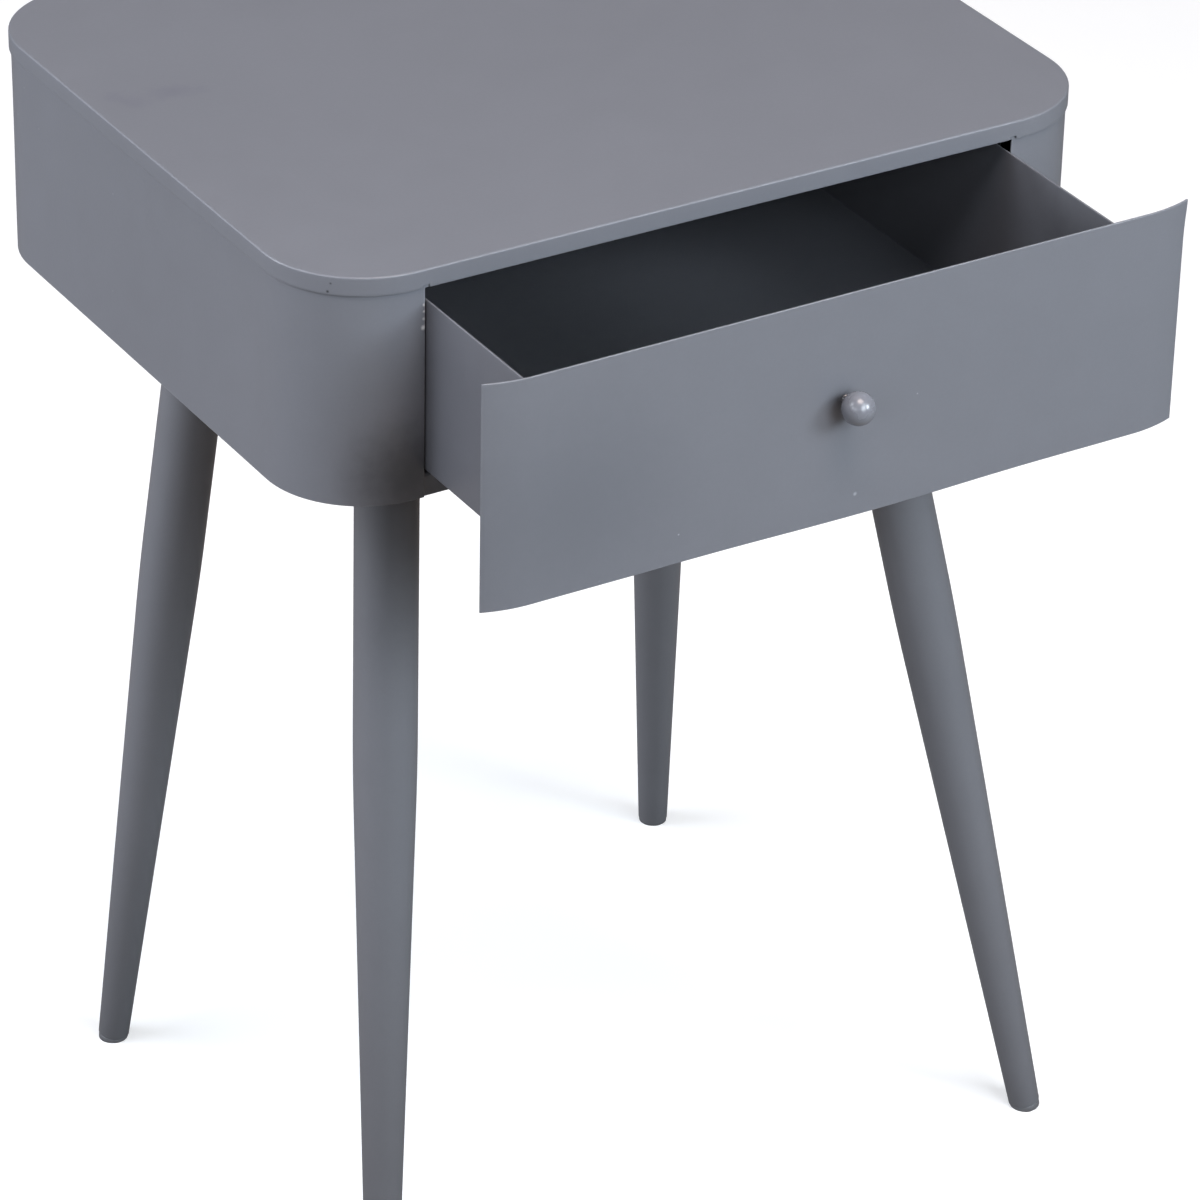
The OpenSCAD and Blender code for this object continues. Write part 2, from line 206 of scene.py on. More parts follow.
def makePaintSkin():
    # sprayed paint: slow mottling, fine orange peel, a few dust nibs
    tree = bpy.data.node_groups.new("paintSkin", "ShaderNodeTree")
    socket(tree, "Tone", "NodeSocketColor", "INPUT", (0.2, 0.2, 0.22, 1))
    socket(tree, "Mottle", "NodeSocketFloat", "INPUT", 0.05)
    socket(tree, "Nibs", "NodeSocketFloat", "INPUT", 0.5)
    socket(tree, "Gloss", "NodeSocketFloat", "INPUT", 0.4)
    socket(tree, "Color", "NodeSocketColor", "OUTPUT")
    socket(tree, "Roughness", "NodeSocketFloat", "OUTPUT")
    socket(tree, "Height", "NodeSocketFloat", "OUTPUT")
    n, link = tree.nodes, tree.links.new
    inp, out = n.new("NodeGroupInput"), n.new("NodeGroupOutput")
    place = n.new("ShaderNodeTexCoord")

    def noise(scale, detail, rough):
        made = n.new("ShaderNodeTexNoise")
        made.inputs["Scale"].default_value = scale
        made.inputs["Detail"].default_value = detail
        made.inputs["Roughness"].default_value = rough
        link(place.outputs["Object"], made.inputs["Vector"])
        return made.outputs["Fac"]

    def maths(how, a, b, c=None):
        made = n.new("ShaderNodeMath")
        made.operation = how
        for i, value in enumerate((a, b, c)):
            if value is None:
                continue
            if isinstance(value, (int, float)):
                made.inputs[i].default_value = value
            else:
                link(value, made.inputs[i])
        return made.outputs[0]

    cloud = noise(9, 3, 0.55)
    haze = noise(55, 4, 0.6)
    peel = noise(620, 2, 0.5)
    nibs = n.new("ShaderNodeTexVoronoi")
    nibs.inputs["Scale"].default_value = 46
    link(place.outputs["Object"], nibs.inputs["Vector"])
    nibMask = maths("LESS_THAN", nibs.outputs["Distance"], 0.024)
    pick = n.new("ShaderNodeSeparateColor")
    link(nibs.outputs["Color"], pick.inputs[0])
    nibMask = maths("MULTIPLY", nibMask, maths("GREATER_THAN", pick.outputs[0], 0.86))
    nibMask = maths("MULTIPLY", nibMask, inp.outputs["Nibs"])

    shade = maths("ADD", maths("SUBTRACT", cloud, 0.5), maths("MULTIPLY", maths("SUBTRACT", haze, 0.5), 0.7))
    grain = maths("MULTIPLY", maths("SUBTRACT", peel, 0.5), 0.5)
    shade = maths("ADD", shade, grain)
    factor = maths("MULTIPLY_ADD", shade, inp.outputs["Mottle"], 1.0)
    factor = maths("ADD", factor, maths("MULTIPLY", nibMask, 0.6))
    tint = n.new("ShaderNodeVectorMath")
    tint.operation = "SCALE"
    link(inp.outputs["Tone"], tint.inputs[0])
    link(factor, tint.inputs["Scale"])
    link(tint.outputs[0], out.inputs["Color"])
    gloss = maths("MULTIPLY_ADD", maths("SUBTRACT", haze, 0.5), 0.16, inp.outputs["Gloss"])
    link(gloss, out.inputs["Roughness"])
    height = maths("ADD", peel, maths("MULTIPLY", nibMask, 3.0))
    link(height, out.inputs["Height"])
    return tree


def makeEdgeWear():
    # thin paint along cut edges: strongest at the rim, broken up by noise
    tree = bpy.data.node_groups.new("edgeWear", "ShaderNodeTree")
    socket(tree, "Near", "NodeSocketFloat", "INPUT", 1.0)
    socket(tree, "Width", "NodeSocketFloat", "INPUT", 0.0012)
    socket(tree, "Amount", "NodeSocketFloat", "INPUT", 0.5)
    socket(tree, "Mask", "NodeSocketFloat", "OUTPUT")
    n, link = tree.nodes, tree.links.new
    inp, out = n.new("NodeGroupInput"), n.new("NodeGroupOutput")
    place = n.new("ShaderNodeTexCoord")
    breaks = n.new("ShaderNodeTexNoise")
    breaks.inputs["Scale"].default_value = 260
    breaks.inputs["Detail"].default_value = 3
    link(place.outputs["Object"], breaks.inputs["Vector"])
    band = n.new("ShaderNodeMapRange")
    band.interpolation_type = "SMOOTHSTEP"
    band.inputs["From Min"].default_value = 0.0
    band.inputs["To Min"].default_value = 1.0
    band.inputs["To Max"].default_value = 0.0
    link(inp.outputs["Near"], band.inputs["Value"])
    link(inp.outputs["Width"], band.inputs["From Max"])
    patch = n.new("ShaderNodeMapRange")
    patch.inputs["From Min"].default_value = 0.35
    patch.inputs["From Max"].default_value = 0.7
    patch.inputs["To Min"].default_value = 0.35
    patch.inputs["To Max"].default_value = 1.0
    link(breaks.outputs["Fac"], patch.inputs["Value"])
    both = n.new("ShaderNodeMath")
    both.operation = "MULTIPLY"
    link(band.outputs["Result"], both.inputs[0])
    link(patch.outputs["Result"], both.inputs[1])
    scaled = n.new("ShaderNodeMath")
    scaled.operation = "MULTIPLY"
    link(both.outputs[0], scaled.inputs[0])
    link(inp.outputs["Amount"], scaled.inputs[1])
    link(scaled.outputs[0], out.inputs["Mask"])
    return tree


def makeSpot():
    # one soft round spot at a place on the piece, its outline roughened by noise
    tree = bpy.data.node_groups.new("spot", "ShaderNodeTree")
    socket(tree, "Place", "NodeSocketVector", "INPUT")
    socket(tree, "Size", "NodeSocketFloat", "INPUT", 0.001)
    socket(tree, "Ragged", "NodeSocketFloat", "INPUT", 0.0)
    socket(tree, "Mask", "NodeSocketFloat", "OUTPUT")
    n, link = tree.nodes, tree.links.new
    inp, out = n.new("NodeGroupInput"), n.new("NodeGroupOutput")
    place = n.new("ShaderNodeTexCoord")
    gap = n.new("ShaderNodeVectorMath")
    gap.operation = "DISTANCE"
    link(place.outputs["Object"], gap.inputs[0])
    link(inp.outputs["Place"], gap.inputs[1])
    wander = n.new("ShaderNodeTexNoise")
    wander.inputs["Scale"].default_value = 160
    wander.inputs["Detail"].default_value = 4
    link(place.outputs["Object"], wander.inputs["Vector"])
    pull = n.new("ShaderNodeMath")
    pull.operation = "SUBTRACT"
    pull.inputs[1].default_value = 0.5
    link(wander.outputs["Fac"], pull.inputs[0])
    spread = n.new("ShaderNodeMath")
    spread.operation = "MULTIPLY"
    link(pull.outputs[0], spread.inputs[0])
    link(inp.outputs["Ragged"], spread.inputs[1])
    moved = n.new("ShaderNodeMath")
    moved.operation = "ADD"
    link(gap.outputs["Value"], moved.inputs[0])
    link(spread.outputs[0], moved.inputs[1])
    fade = n.new("ShaderNodeMapRange")
    fade.interpolation_type = "SMOOTHSTEP"
    fade.inputs["From Min"].default_value = 0.0
    fade.inputs["To Min"].default_value = 1.0
    fade.inputs["To Max"].default_value = 0.0
    link(moved.outputs[0], fade.inputs["Value"])
    link(inp.outputs["Size"], fade.inputs["From Max"])
    link(fade.outputs["Result"], out.inputs["Mask"])
    return tree


paintSkin = makePaintSkin()
edgeWear = makeEdgeWear()
spot = makeSpot()


def paint(name, tone, mottle, nibs, gloss, bump, wear=0.0, marks=(), coat=0.0):
    # marks are (place, size, ragged, tone to turn to, strength)
    made = bpy.data.materials.new(name)
    made.use_nodes = True
    n, link = made.node_tree.nodes, made.node_tree.links.new
    shader = n["Principled BSDF"]
    skin = n.new("ShaderNodeGroup")
    skin.node_tree = paintSkin
    skin.inputs["Tone"].default_value = (*tone, 1)
    skin.inputs["Mottle"].default_value = mottle
    skin.inputs["Nibs"].default_value = nibs
    skin.inputs["Gloss"].default_value = gloss
    color = skin.outputs["Color"]

    def blend(color, mask, other):
        mix = n.new("ShaderNodeMix")
        mix.data_type = "RGBA"
        link(mask, mix.inputs[0])
        link(color, mix.inputs[6])
        mix.inputs[7].default_value = (*other, 1)
        return mix.outputs[2]

    if wear:
        near = n.new("ShaderNodeAttribute")
        near.attribute_name = "edgeNear"
        worn = n.new("ShaderNodeGroup")
        worn.node_tree = edgeWear
        worn.inputs["Amount"].default_value = wear
        link(near.outputs["Fac"], worn.inputs["Near"])
        color = blend(color, worn.outputs["Mask"], wornTone)
    for place, size, ragged, other, strength in marks:
        mark = n.new("ShaderNodeGroup")
        mark.node_tree = spot
        mark.inputs["Place"].default_value = place
        mark.inputs["Size"].default_value = size
        mark.inputs["Ragged"].default_value = ragged
        scaled = n.new("ShaderNodeMath")
        scaled.operation = "MULTIPLY"
        scaled.inputs[1].default_value = strength
        link(mark.outputs["Mask"], scaled.inputs[0])
        color = blend(color, scaled.outputs[0], other)
    dents = n.new("ShaderNodeBump")
    dents.inputs["Strength"].default_value = bump
    dents.inputs["Distance"].default_value = 0.00006
    link(color, shader.inputs["Base Color"])
    link(skin.outputs["Roughness"], shader.inputs["Roughness"])
    link(skin.outputs["Height"], dents.inputs["Height"])
    link(dents.outputs["Normal"], shader.inputs["Normal"])
    shader.inputs["Specular IOR Level"].default_value = 0.5
    shader.inputs["Coat Weight"].default_value = coat
    shader.inputs["Coat Roughness"].default_value = 0.16
    return made


def bareMetal(name, tone, gloss):
    # zinc plate: fine turned lines and cloudy spangle
    made = bpy.data.materials.new(name)
    made.use_nodes = True
    n, link = made.node_tree.nodes, made.node_tree.links.new
    shader = n["Principled BSDF"]
    shader.inputs["Metallic"].default_value = 1.0
    place = n.new("ShaderNodeTexCoord")
    spangle = n.new("ShaderNodeTexNoise")
    spangle.inputs["Scale"].default_value = 240
    spangle.inputs["Detail"].default_value = 3
    link(place.outputs["Object"], spangle.inputs["Vector"])
    ramp = n.new("ShaderNodeValToRGB")
    ramp.color_ramp.elements[0].position = 0.3
    ramp.color_ramp.elements[0].color = (*[c * 0.8 for c in tone], 1)
    ramp.color_ramp.elements[1].position = 0.7
    ramp.color_ramp.elements[1].color = (*tone, 1)
    link(spangle.outputs["Fac"], ramp.inputs["Fac"])
    link(ramp.outputs["Color"], shader.inputs["Base Color"])
    rough = n.new("ShaderNodeMapRange")
    rough.inputs["To Min"].default_value = gloss - 0.08
    rough.inputs["To Max"].default_value = gloss + 0.1
    link(spangle.outputs["Fac"], rough.inputs["Value"])
    link(rough.outputs["Result"], shader.inputs["Roughness"])
    dents = n.new("ShaderNodeBump")
    dents.inputs["Strength"].default_value = 0.3
    dents.inputs["Distance"].default_value = 0.0001
    link(spangle.outputs["Fac"], dents.inputs["Height"])
    link(dents.outputs["Normal"], shader.inputs["Normal"])
    return made


greyTone = (0.166, 0.172, 0.192)
wornTone = (0.42, 0.43, 0.45)
burrTone = (0.62, 0.62, 0.62)  # bare sheet at a sheared edge
glintTone = (0.6, 0.6, 0.62)
weldTone = (0.5, 0.52, 0.55)
pinTone = (0.012, 0.012, 0.014)
smudgeTone = (0.118, 0.116, 0.150)
# painted shade over the left part of the drawer front
frontShadeTone = (0.126, 0.134, 0.152)
insideShadeTone = (0.036, 0.037, 0.042)  # painted shade inside the drawer
# painted shade on the legs: under the case at their tops and towards their feet
legShadeTone = (0.085, 0.086, 0.092)
shadowTone = (0.030, 0.032, 0.036)


def marksOn(node, *marks):
    # each mark is a place, a size and a raggedness in mm, a tone and a strength;
    # the place is measured from the low corner of the node's box
    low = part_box(node)[0]
    return [(low + Vector(at) * mm, size * mm, ragged * mm, tone, strength)
            for at, size, ragged, tone, strength in marks]


lidMarks = marksOn(
    "lid",
    ((15.55, 14.92, 5.86), 0.9, 0, pinTone, 0.75),
    ((14.53, 15.95, 1.55), 1.1, 0, pinTone, 1.0),
    ((15.5, 231.4, 9.6), 10, 12, smudgeTone, 0.22),
    ((21.5, 222.4, 9.6), 11, 12, smudgeTone, 0.24),
    ((36.5, 224.9, 9.6), 12, 14, smudgeTone, 0.24),
    ((46.5, 222.9, 9.6), 11, 12, smudgeTone, 0.26),
    ((54.5, 220.4, 9.6), 7, 10, smudgeTone, 0.20),
)
frontMarks = marksOn(
    "drawer_front",
    ((198.6, -0.3, 10.5), 1.3, 1.6, weldTone, 0.5),
    ((231.4, -0.3, 54.9), 0.7, 0, glintTone, 0.7),
    ((102.0, -0.3, 15.1), 0.7, 0, glintTone, 0.7),
    ((188.5, -0.3, 60.5), 11.5, 0, shadowTone, 0.60),
    # painted shade: a soft darker area over the front's left part
    ((46.5, -0.3, 45.0), 80, 20, frontShadeTone, 0.60),
)
caseMarks = marksOn(
    "case_wrap",
    ((55.65, 0, 101.4), 1.3, 2.4, burrTone, 1.0),
    ((55.8, 0, 98.0), 1.0, 2.0, burrTone, 0.9),
    ((55.7, 0, 94.2), 1.4, 2.6, burrTone, 0.9),
    ((55.5, 0, 89.8), 1.7, 2.8, burrTone, 1.0),
    ((49.0, 0, 13.0), 42, 10, shadowTone, 0.80),
)
# painted shade on the drawer floor's left and on the right wall's front
insideShadeMarks = marksOn(
    "drawer_tray",
    ((107, 203.5, -10.7), 130, 20, insideShadeTone, 0.60),
    ((320, 28.5, 74.3), 70, 20, insideShadeTone, 0.60),
)
knobMarks = marksOn("knob", ((8.1, 18.2, 8.1), 6.8, 0, shadowTone, 1.0))
# painted shade at the tops of the front legs, under the case
legTopShadeMarks = marksOn(
    "case_wrap",
    ((78, 77.4, -42), 130, 20, legShadeTone, 0.55),
    ((367, 77.4, -42), 110, 20, legShadeTone, 0.45),
)
footAt = {m["name"][len("foot_"):]: m["pos_m"] for m in record["mounts"] if m["name"].startswith("foot_")}
footShade = {  # how far up the painted shade reaches in mm, and its strength
    "front_left": (300, 0.55),
    "front_right": (240, 0.22),
    "back_left": (200, 0.45),
}
footShadeMarks = [(footAt[corner], reach * mm, 30 * mm, legShadeTone, strength)
             for corner, (reach, strength) in footShade.items()]

lidPaint = paint("lidPaint", tone=greyTone, mottle=0.10, nibs=0.6, gloss=0.38, bump=0.35, wear=0.07,
                 marks=lidMarks)
frontPaint = paint("frontPaint", tone=greyTone, mottle=0.09, nibs=0.4, gloss=0.33, bump=0.35, wear=0.12,
                   marks=frontMarks)
casePaint = paint("casePaint", tone=greyTone, mottle=0.10, nibs=0.5, gloss=0.34, bump=0.35, wear=0.25,
                  marks=caseMarks)
# painted shade: the tray's outside is the grey paint darkened for the shade it sits in
shadedSheetPaint = paint("shadedSheetPaint", tone=(0.114, 0.117, 0.132), mottle=0.10, nibs=0.5, gloss=0.36, bump=0.35,
                   wear=0.15)
# painted shade: the drawer's inner faces are the grey paint darkened for the shade inside
shadedInsidePaint = paint("shadedInsidePaint", tone=(0.125, 0.127, 0.140), mottle=0.12, nibs=0.3, gloss=0.5, bump=0.35,
                    wear=0.15, marks=insideShadeMarks)
# painted shade: the case's inner face and the bottom pan are the grey paint darkened for the shade under and
# inside the case
shadedUnderPaint = paint("shadedUnderPaint", tone=(0.110, 0.112, 0.122), mottle=0.14, nibs=0.3, gloss=0.5, bump=0.4)
shadePaint = paint("shadePaint", tone=(0.016, 0.016, 0.018), mottle=0.12, nibs=0.2, gloss=0.7, bump=0.35)
tubePaint = paint("tubePaint", tone=(0.160, 0.164, 0.180), mottle=0.10, nibs=0.4, gloss=0.34, bump=0.4,
                  marks=footShadeMarks + legTopShadeMarks)
knobPaint = paint("knobPaint", tone=(0.185, 0.192, 0.216), mottle=0.06, nibs=0.2, gloss=0.27, bump=0.15,
                  coat=0.6, marks=knobMarks)
greyPlastic = paint("greyPlastic", tone=(0.135, 0.137, 0.146), mottle=0.12, nibs=0.0, gloss=0.45, bump=0.6)
zincSteel = bareMetal("zincSteel", tone=(0.6, 0.61, 0.63), gloss=0.38)
print("finishes made")


def finish(piece, body, nodes, *materials):
    # gives a piece its paints, hangs it on the body it rides on and hides the parts it stands for
    for material in materials:
        piece.data.materials.append(material)
    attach(piece, body)
    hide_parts(*nodes)
    return piece


lidSpec = {
    "cornerRadius": 52 * mm,
    "bend": 1.0 * mm,
    "gauge": 0.9 * mm,
    "cutEdge": 0.25 * mm,
    "reliefHalf": 2 * mm,
    "openingHalf": 162.7 * mm,
    "lipRows": [0, 1.6 * mm, 3 * mm, 5.5 * mm],
    "topRows": [2.5 * mm, 5 * mm, 10 * mm, 20 * mm],
    "sag": 0.12 * mm,
    "sagFrom": 4 * mm,
    "sagOver": 60 * mm,
    "waves": [(0.10 * mm, 0.31, 0.9, 0.4), (0.07 * mm, -0.5, 0.23, 1.3), (0.04 * mm, 0.17, -0.19, 2.2)],
}
lidLow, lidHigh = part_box("lid")
caseMiddle = ((lidLow.x + lidHigh.x) / 2, (lidLow.y + lidHigh.y) / 2)


def makeLid(s):
    # the profile climbs the lip, turns through a quarter circle and runs in over the top;
    # past the corner radius the outline shrinks towards the middle
    half = ((lidHigh.x - lidLow.x) / 2, (lidHigh.y - lidLow.y) / 2)
    ex = half[0] - s["cornerRadius"]
    cut = s["openingHalf"] + np.array([-s["reliefHalf"], s["reliefHalf"]])
    stops = np.unique(np.concatenate([[-ex, ex], cut, -cut, np.linspace(-ex, ex, 25)]))
    stops = stops[np.concatenate([[True], np.diff(stops) > 0.4 * mm])]
    path, normal = roundPath(half, s["cornerRadius"], 18, stops, 20)
    low, high, r = lidLow.z, lidHigh.z, s["bend"]
    turn = np.linspace(0, np.pi / 2, 9)
    rise = np.array(s["lipRows"])  # the relief is as high as the first row
    zs = np.concatenate([low + rise, high - r + r * np.sin(turn)])
    ins = np.concatenate([0 * rise, r - r * np.cos(turn)])
    inset = np.array(s["topRows"])
    zs = np.concatenate([zs, 0 * inset + high])
    ins = np.concatenate([ins, inset])
    ringXY = path[:, None, :] - normal[:, None, :] * ins[None, :, None]
    scale = np.linspace(1, 0.04, 16)[1:]
    innerXY = ringXY[:, -1:, :] * scale[None, :, None]
    xy = np.concatenate([ringXY, innerXY], 1)
    z = np.concatenate([zs, 0 * scale + high])[None, :] + 0 * xy[..., 0]
    depth = np.minimum(half[0] - abs(xy[..., 0]), half[1] - abs(xy[..., 1]))
    fade = np.clip((depth - s["sagFrom"]) / s["sagOver"], 0, 1) ** 2
    z = z - fade * (s["sag"] + ripple(xy[..., 0], xy[..., 1], s["waves"]))
    grid = np.concatenate([xy + np.array(caseMiddle), z[..., None]], -1)
    nu, nv = grid.shape[:2]
    keep = np.ones((nu, nv - 1), bool)
    mid = (path[:, 0] + np.roll(path[:, 0], -1)) / 2
    onFront = (path[:, 1] < -half[1] + tiny) & (np.roll(path[:, 1], -1) < -half[1] + tiny)
    inCut = onFront & (abs(abs(mid) - s["openingHalf"]) < s["reliefHalf"])
    keep[inCut, 0] = False
    piece = meshFromGrid("lidShell", grid, closedU=True, keep=keep, poles=(False, True))
    return thicken(piece, s["gauge"], s["cutEdge"])


finish(makeLid(lidSpec), "table", ["lid"], lidPaint)
print("lid made")


caseSpec = {
    "cornerRadius": 51 * mm,
    "gauge": 0.9 * mm,
    "cutEdge": 0.25 * mm,
    "openingHalf": 162.7 * mm,
    "belowLip": 0.4 * mm,
    "still": 9 * mm,
    "waves": [(0.12 * mm, 0.21, 0.33, 0.2), (0.08 * mm, -0.13, 0.21, 1.9)],
}
panSpec = {
    "cornerRadius": 50 * mm,
    "bend": 1.8 * mm,
    "gauge": 1.2 * mm,
    "cutEdge": 0.3 * mm,
    "flangeRows": [0, 0.8 * mm, 4 * mm, 8 * mm],
    "floorRows": [4 * mm, 10 * mm, 25 * mm],
}
caseLow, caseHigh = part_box("case_wrap")
panLow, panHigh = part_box("bottom_pan")


def makeCase(s):
    # the rounded outline carried straight up, left open in front below the lip
    half = ((caseHigh.x - caseLow.x) / 2, (caseHigh.y - caseLow.y) / 2)
    ex = half[0] - s["cornerRadius"]
    edge = s["openingHalf"]
    stops = np.unique(np.concatenate([
        [-ex, ex], [edge, edge + 1.2 * mm, -edge, -edge - 1.2 * mm], np.linspace(-edge, edge, 21)[1:-1]
    ]))
    path, normal = roundPath(half, s["cornerRadius"], 22, stops, 24)
    windowHigh = lidLow.z - s["belowLip"]
    zs = np.concatenate([
        easedStops(caseLow.z, windowHigh, 12, rimStep),
        easedStops(windowHigh, caseHigh.z, 2, rimStep)[1:],
    ])
    around = np.concatenate([[0], np.cumsum(np.linalg.norm(np.diff(path, axis=0), axis=1))])
    u, z = np.meshgrid(around, zs, indexing="ij")
    rise = (z - caseLow.z) / (caseHigh.z - caseLow.z)
    still = (abs(path[:, 0]) < edge + s["still"]) & (path[:, 1] < 0)  # no waves beside the opening
    fade = np.sin(np.pi * np.clip(rise, 0, 1)) * np.where(still, 0, 1)[:, None]
    swell = -fade * ripple(u, z, s["waves"])
    xy = path[:, None, :] + normal[:, None, :] * swell[..., None] + np.array(caseMiddle)
    grid = np.concatenate([xy, z[..., None]], -1)
    midX = (path[:, 0] + np.roll(path[:, 0], -1)) / 2
    onFront = (path[:, 1] < -half[1] + tiny) & (np.roll(path[:, 1], -1) < -half[1] + tiny)
    midZ = (zs[1:] + zs[:-1]) / 2
    hole = (onFront & (abs(midX) < edge))[:, None] & (midZ < windowHigh)[None, :]
    piece = meshFromGrid("caseShell", grid, closedU=True, keep=~hole)
    return thicken(piece, s["gauge"], s["cutEdge"], innerSlot=1)


finish(makeCase(caseSpec), "table", ["case_wrap"], casePaint, shadedUnderPaint)


def makePan(s):
    # flanges climb to a bend, then the floor of the case runs in to the middle
    half = ((panHigh.x - panLow.x) / 2, (panHigh.y - panLow.y) / 2)
    ex = half[0] - s["cornerRadius"]
    path, normal = roundPath(half, s["cornerRadius"], 14, np.linspace(-ex, ex, 24), 20)
    turn = np.linspace(0, np.pi / 2, 7)
    rise = np.array(s["flangeRows"])
    inset = np.array(s["floorRows"])
    climb = panHigh.z - s["bend"] + s["bend"] * np.sin(turn)
    zs = np.concatenate([panLow.z + rise, climb, 0 * inset + panHigh.z])
    ins = np.concatenate([0 * rise, s["bend"] - s["bend"] * np.cos(turn), inset])
    ringXY = path[:, None, :] - normal[:, None, :] * ins[None, :, None]
    scale = np.linspace(1, 0.04, 12)[1:]
    xy = np.concatenate([ringXY, ringXY[:, -1:, :] * scale[None, :, None]], 1) + np.array(caseMiddle)
    z = np.concatenate([zs, 0 * scale + panHigh.z])[None, :] + 0 * xy[..., 0]
    grid = np.concatenate([xy, z[..., None]], -1)
    piece = meshFromGrid("panShell", grid, closedU=True, poles=(False, True))
    return thicken(piece, s["gauge"], s["cutEdge"])


finish(makePan(panSpec), "table", ["bottom_pan"], shadedUnderPaint)
print("case and pan made")


def foldedSheet(name, corners, bend, yFrom, yTo, ySteps, gauge, cutEdge, side=-1, innerSlot=0):
    # a rounded profile across, drawn out along the table's depth
    profile = roundedProfile(corners, bend)
    ys = easedStops(yFrom, yTo, ySteps, rimStep)
    grid = np.stack([
        np.repeat(profile[:, 0][:, None], len(ys), 1),
        np.repeat(ys[None, :], len(profile), 0),
        np.repeat(profile[:, 1][:, None], len(ys), 1),
    ], -1)
    piece = meshFromGrid(name, grid)
    return thicken(piece, gauge, cutEdge, side, innerSlot)


guideSpec = {
    "gauge": 1.2 * mm,
    "bend": 1.6 * mm,
    "lowFlange": 14 * mm,
    "topFlange": 8 * mm,
    "setBack": 8 * mm,
    "cutEdge": 0.3 * mm,
}


def makeGuide(name, node, sign, s):
    # a channel: top flange, upright and lower flange in one profile, drawn out backwards
    low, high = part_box(node)
    outer = high.x if sign > 0 else low.x
    corners = [
        (outer - sign * s["topFlange"], high.z),
        (outer, high.z),
        (outer, low.z),
        (outer - sign * s["lowFlange"], low.z),
    ]
    piece = foldedSheet(name, corners, s["bend"], low.y + s["setBack"], high.y, 8, s["gauge"], s["cutEdge"],
                        side=-1 if sign > 0 else 1)
    return finish(piece, "table", [node], shadePaint)


makeGuide("guideLeftSheet", "drawer_guide_left", -1, guideSpec)
makeGuide("guideRightSheet", "drawer_guide_right", 1, guideSpec)


frontSpec = {
    "bendRadius": 71 * mm,
    "flatHalf": 167 * mm,
    "gauge": 1.0 * mm,
    "cutEdge": 0.32 * mm,
    "widen": 0.5 * mm,
    "flare": 1.0 * mm,
    "flareHigh": 11 * mm,
    "waves": [(0.10 * mm, 0.27, 0.5, 0.9), (0.08 * mm, -0.16, 0.24, 0.1), (0.05 * mm, 0.09, 0.13, 2.6)],
    "dimple": (7 * mm, 10.5 * mm, 6 * mm, 0.35 * mm),  # across, up, wide, deep
    "belly": (14 * mm, 62 * mm, 32 * mm, 0.9 * mm, 0.8 * mm),  # across, wide, tall, out, down
    "press": (-132 * mm, 22 * mm, 34 * mm, 24 * mm, 0.45 * mm),  # across, down, wide, tall, deep
    "calmPast": 20 * mm,
    "calmOver": 60 * mm,
    "flareFrom": 150 * mm,
    "flareOver": 40 * mm,
    "straightens": 50 * mm,
}
traySpec = {"gauge": 1.0 * mm, "bend": 1.5 * mm, "cutEdge": 0.3 * mm}
frontLow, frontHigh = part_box("drawer_front")
trayLow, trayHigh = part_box("drawer_tray")


def makeFront(s):
    # flat in the middle, each end bent back on a circle: x = f + R sin t, y = R (1 - cos t);
    # waves, a belly at the lower edge, a press mark and a weld dimple are added across it
    half = (frontHigh.x - frontLow.x) / 2 + s["widen"]
    sweep = math.asin((half - s["flatHalf"]) / s["bendRadius"])
    arc = np.linspace(0, sweep, 12)[1:]
    flat = np.linspace(-s["flatHalf"], s["flatHalf"], 85)
    endX = s["flatHalf"] + s["bendRadius"] * np.sin(arc)
    endY = s["bendRadius"] * (1 - np.cos(arc))
    x = np.concatenate([-endX[::-1], flat, endX])
    y = np.concatenate([endY[::-1], 0 * flat, endY])
    zs = easedStops(frontLow.z, frontHigh.z, 30, rimStep)
    xx, zz = np.meshgrid(x, zs, indexing="ij")
    yy = np.repeat(y[:, None], len(zs), 1)
    calm = np.clip((s["flatHalf"] + s["calmPast"] - abs(xx)) / s["calmOver"], 0, 1)
    swell = calm * ripple(xx, zz, s["waves"])

    def hill(x0, z0, wide, tall):
        return np.exp(-((xx - x0) / wide) ** 2 - ((zz - z0) / tall) ** 2)

    dimX, dimUp, dimWide, dimDeep = s["dimple"]
    swell = swell + dimDeep * hill(dimX, frontLow.z + dimUp, dimWide, dimWide)
    bellyX, bellyWide, bellyTall, bellyOut, bellyDrop = s["belly"]
    belly = hill(bellyX, frontLow.z, bellyWide, bellyTall)
    swell = swell - bellyOut * belly
    pressX, pressDown, pressWide, pressTall, pressDeep = s["press"]
    swell = swell + pressDeep * hill(pressX, frontHigh.z - pressDown, pressWide, pressTall)
    down = np.clip((frontHigh.z - zz) / s["straightens"], 0, 1)
    swell = swell * (0.2 + 0.8 * down**2 * (3 - 2 * down))  # straight where it covers the lid's lip
    towardsEnd = np.clip((xx - s["flareFrom"]) / s["flareOver"], 0, 1)
    flare = np.exp(-(((frontHigh.z - zz) / s["flareHigh"]) ** 2)) * towardsEnd
    grid = np.stack([
        xx + s["flare"] * flare + caseMiddle[0],
        yy + swell + frontLow.y,
        zz - bellyDrop * belly,
    ], -1)
    piece = meshFromGrid("frontSheet", grid)
    return thicken(piece, s["gauge"], s["cutEdge"], innerSlot=1)


finish(makeFront(frontSpec), "drawer", ["drawer_front"], frontPaint, shadedInsidePaint)


def makeTray(s):
    # a U seen from the front: down one side, across the floor and up the other side
    corners = [
        (trayHigh.x, trayHigh.z),
        (trayHigh.x, trayLow.z),
        (trayLow.x, trayLow.z),
        (trayLow.x, trayHigh.z),
    ]
    return foldedSheet("traySheet", corners, s["bend"], trayLow.y, trayHigh.y, 20, s["gauge"],
                       s["cutEdge"], innerSlot=1)


finish(makeTray(traySpec), "drawer", ["drawer_tray"], shadedSheetPaint, shadedInsidePaint)


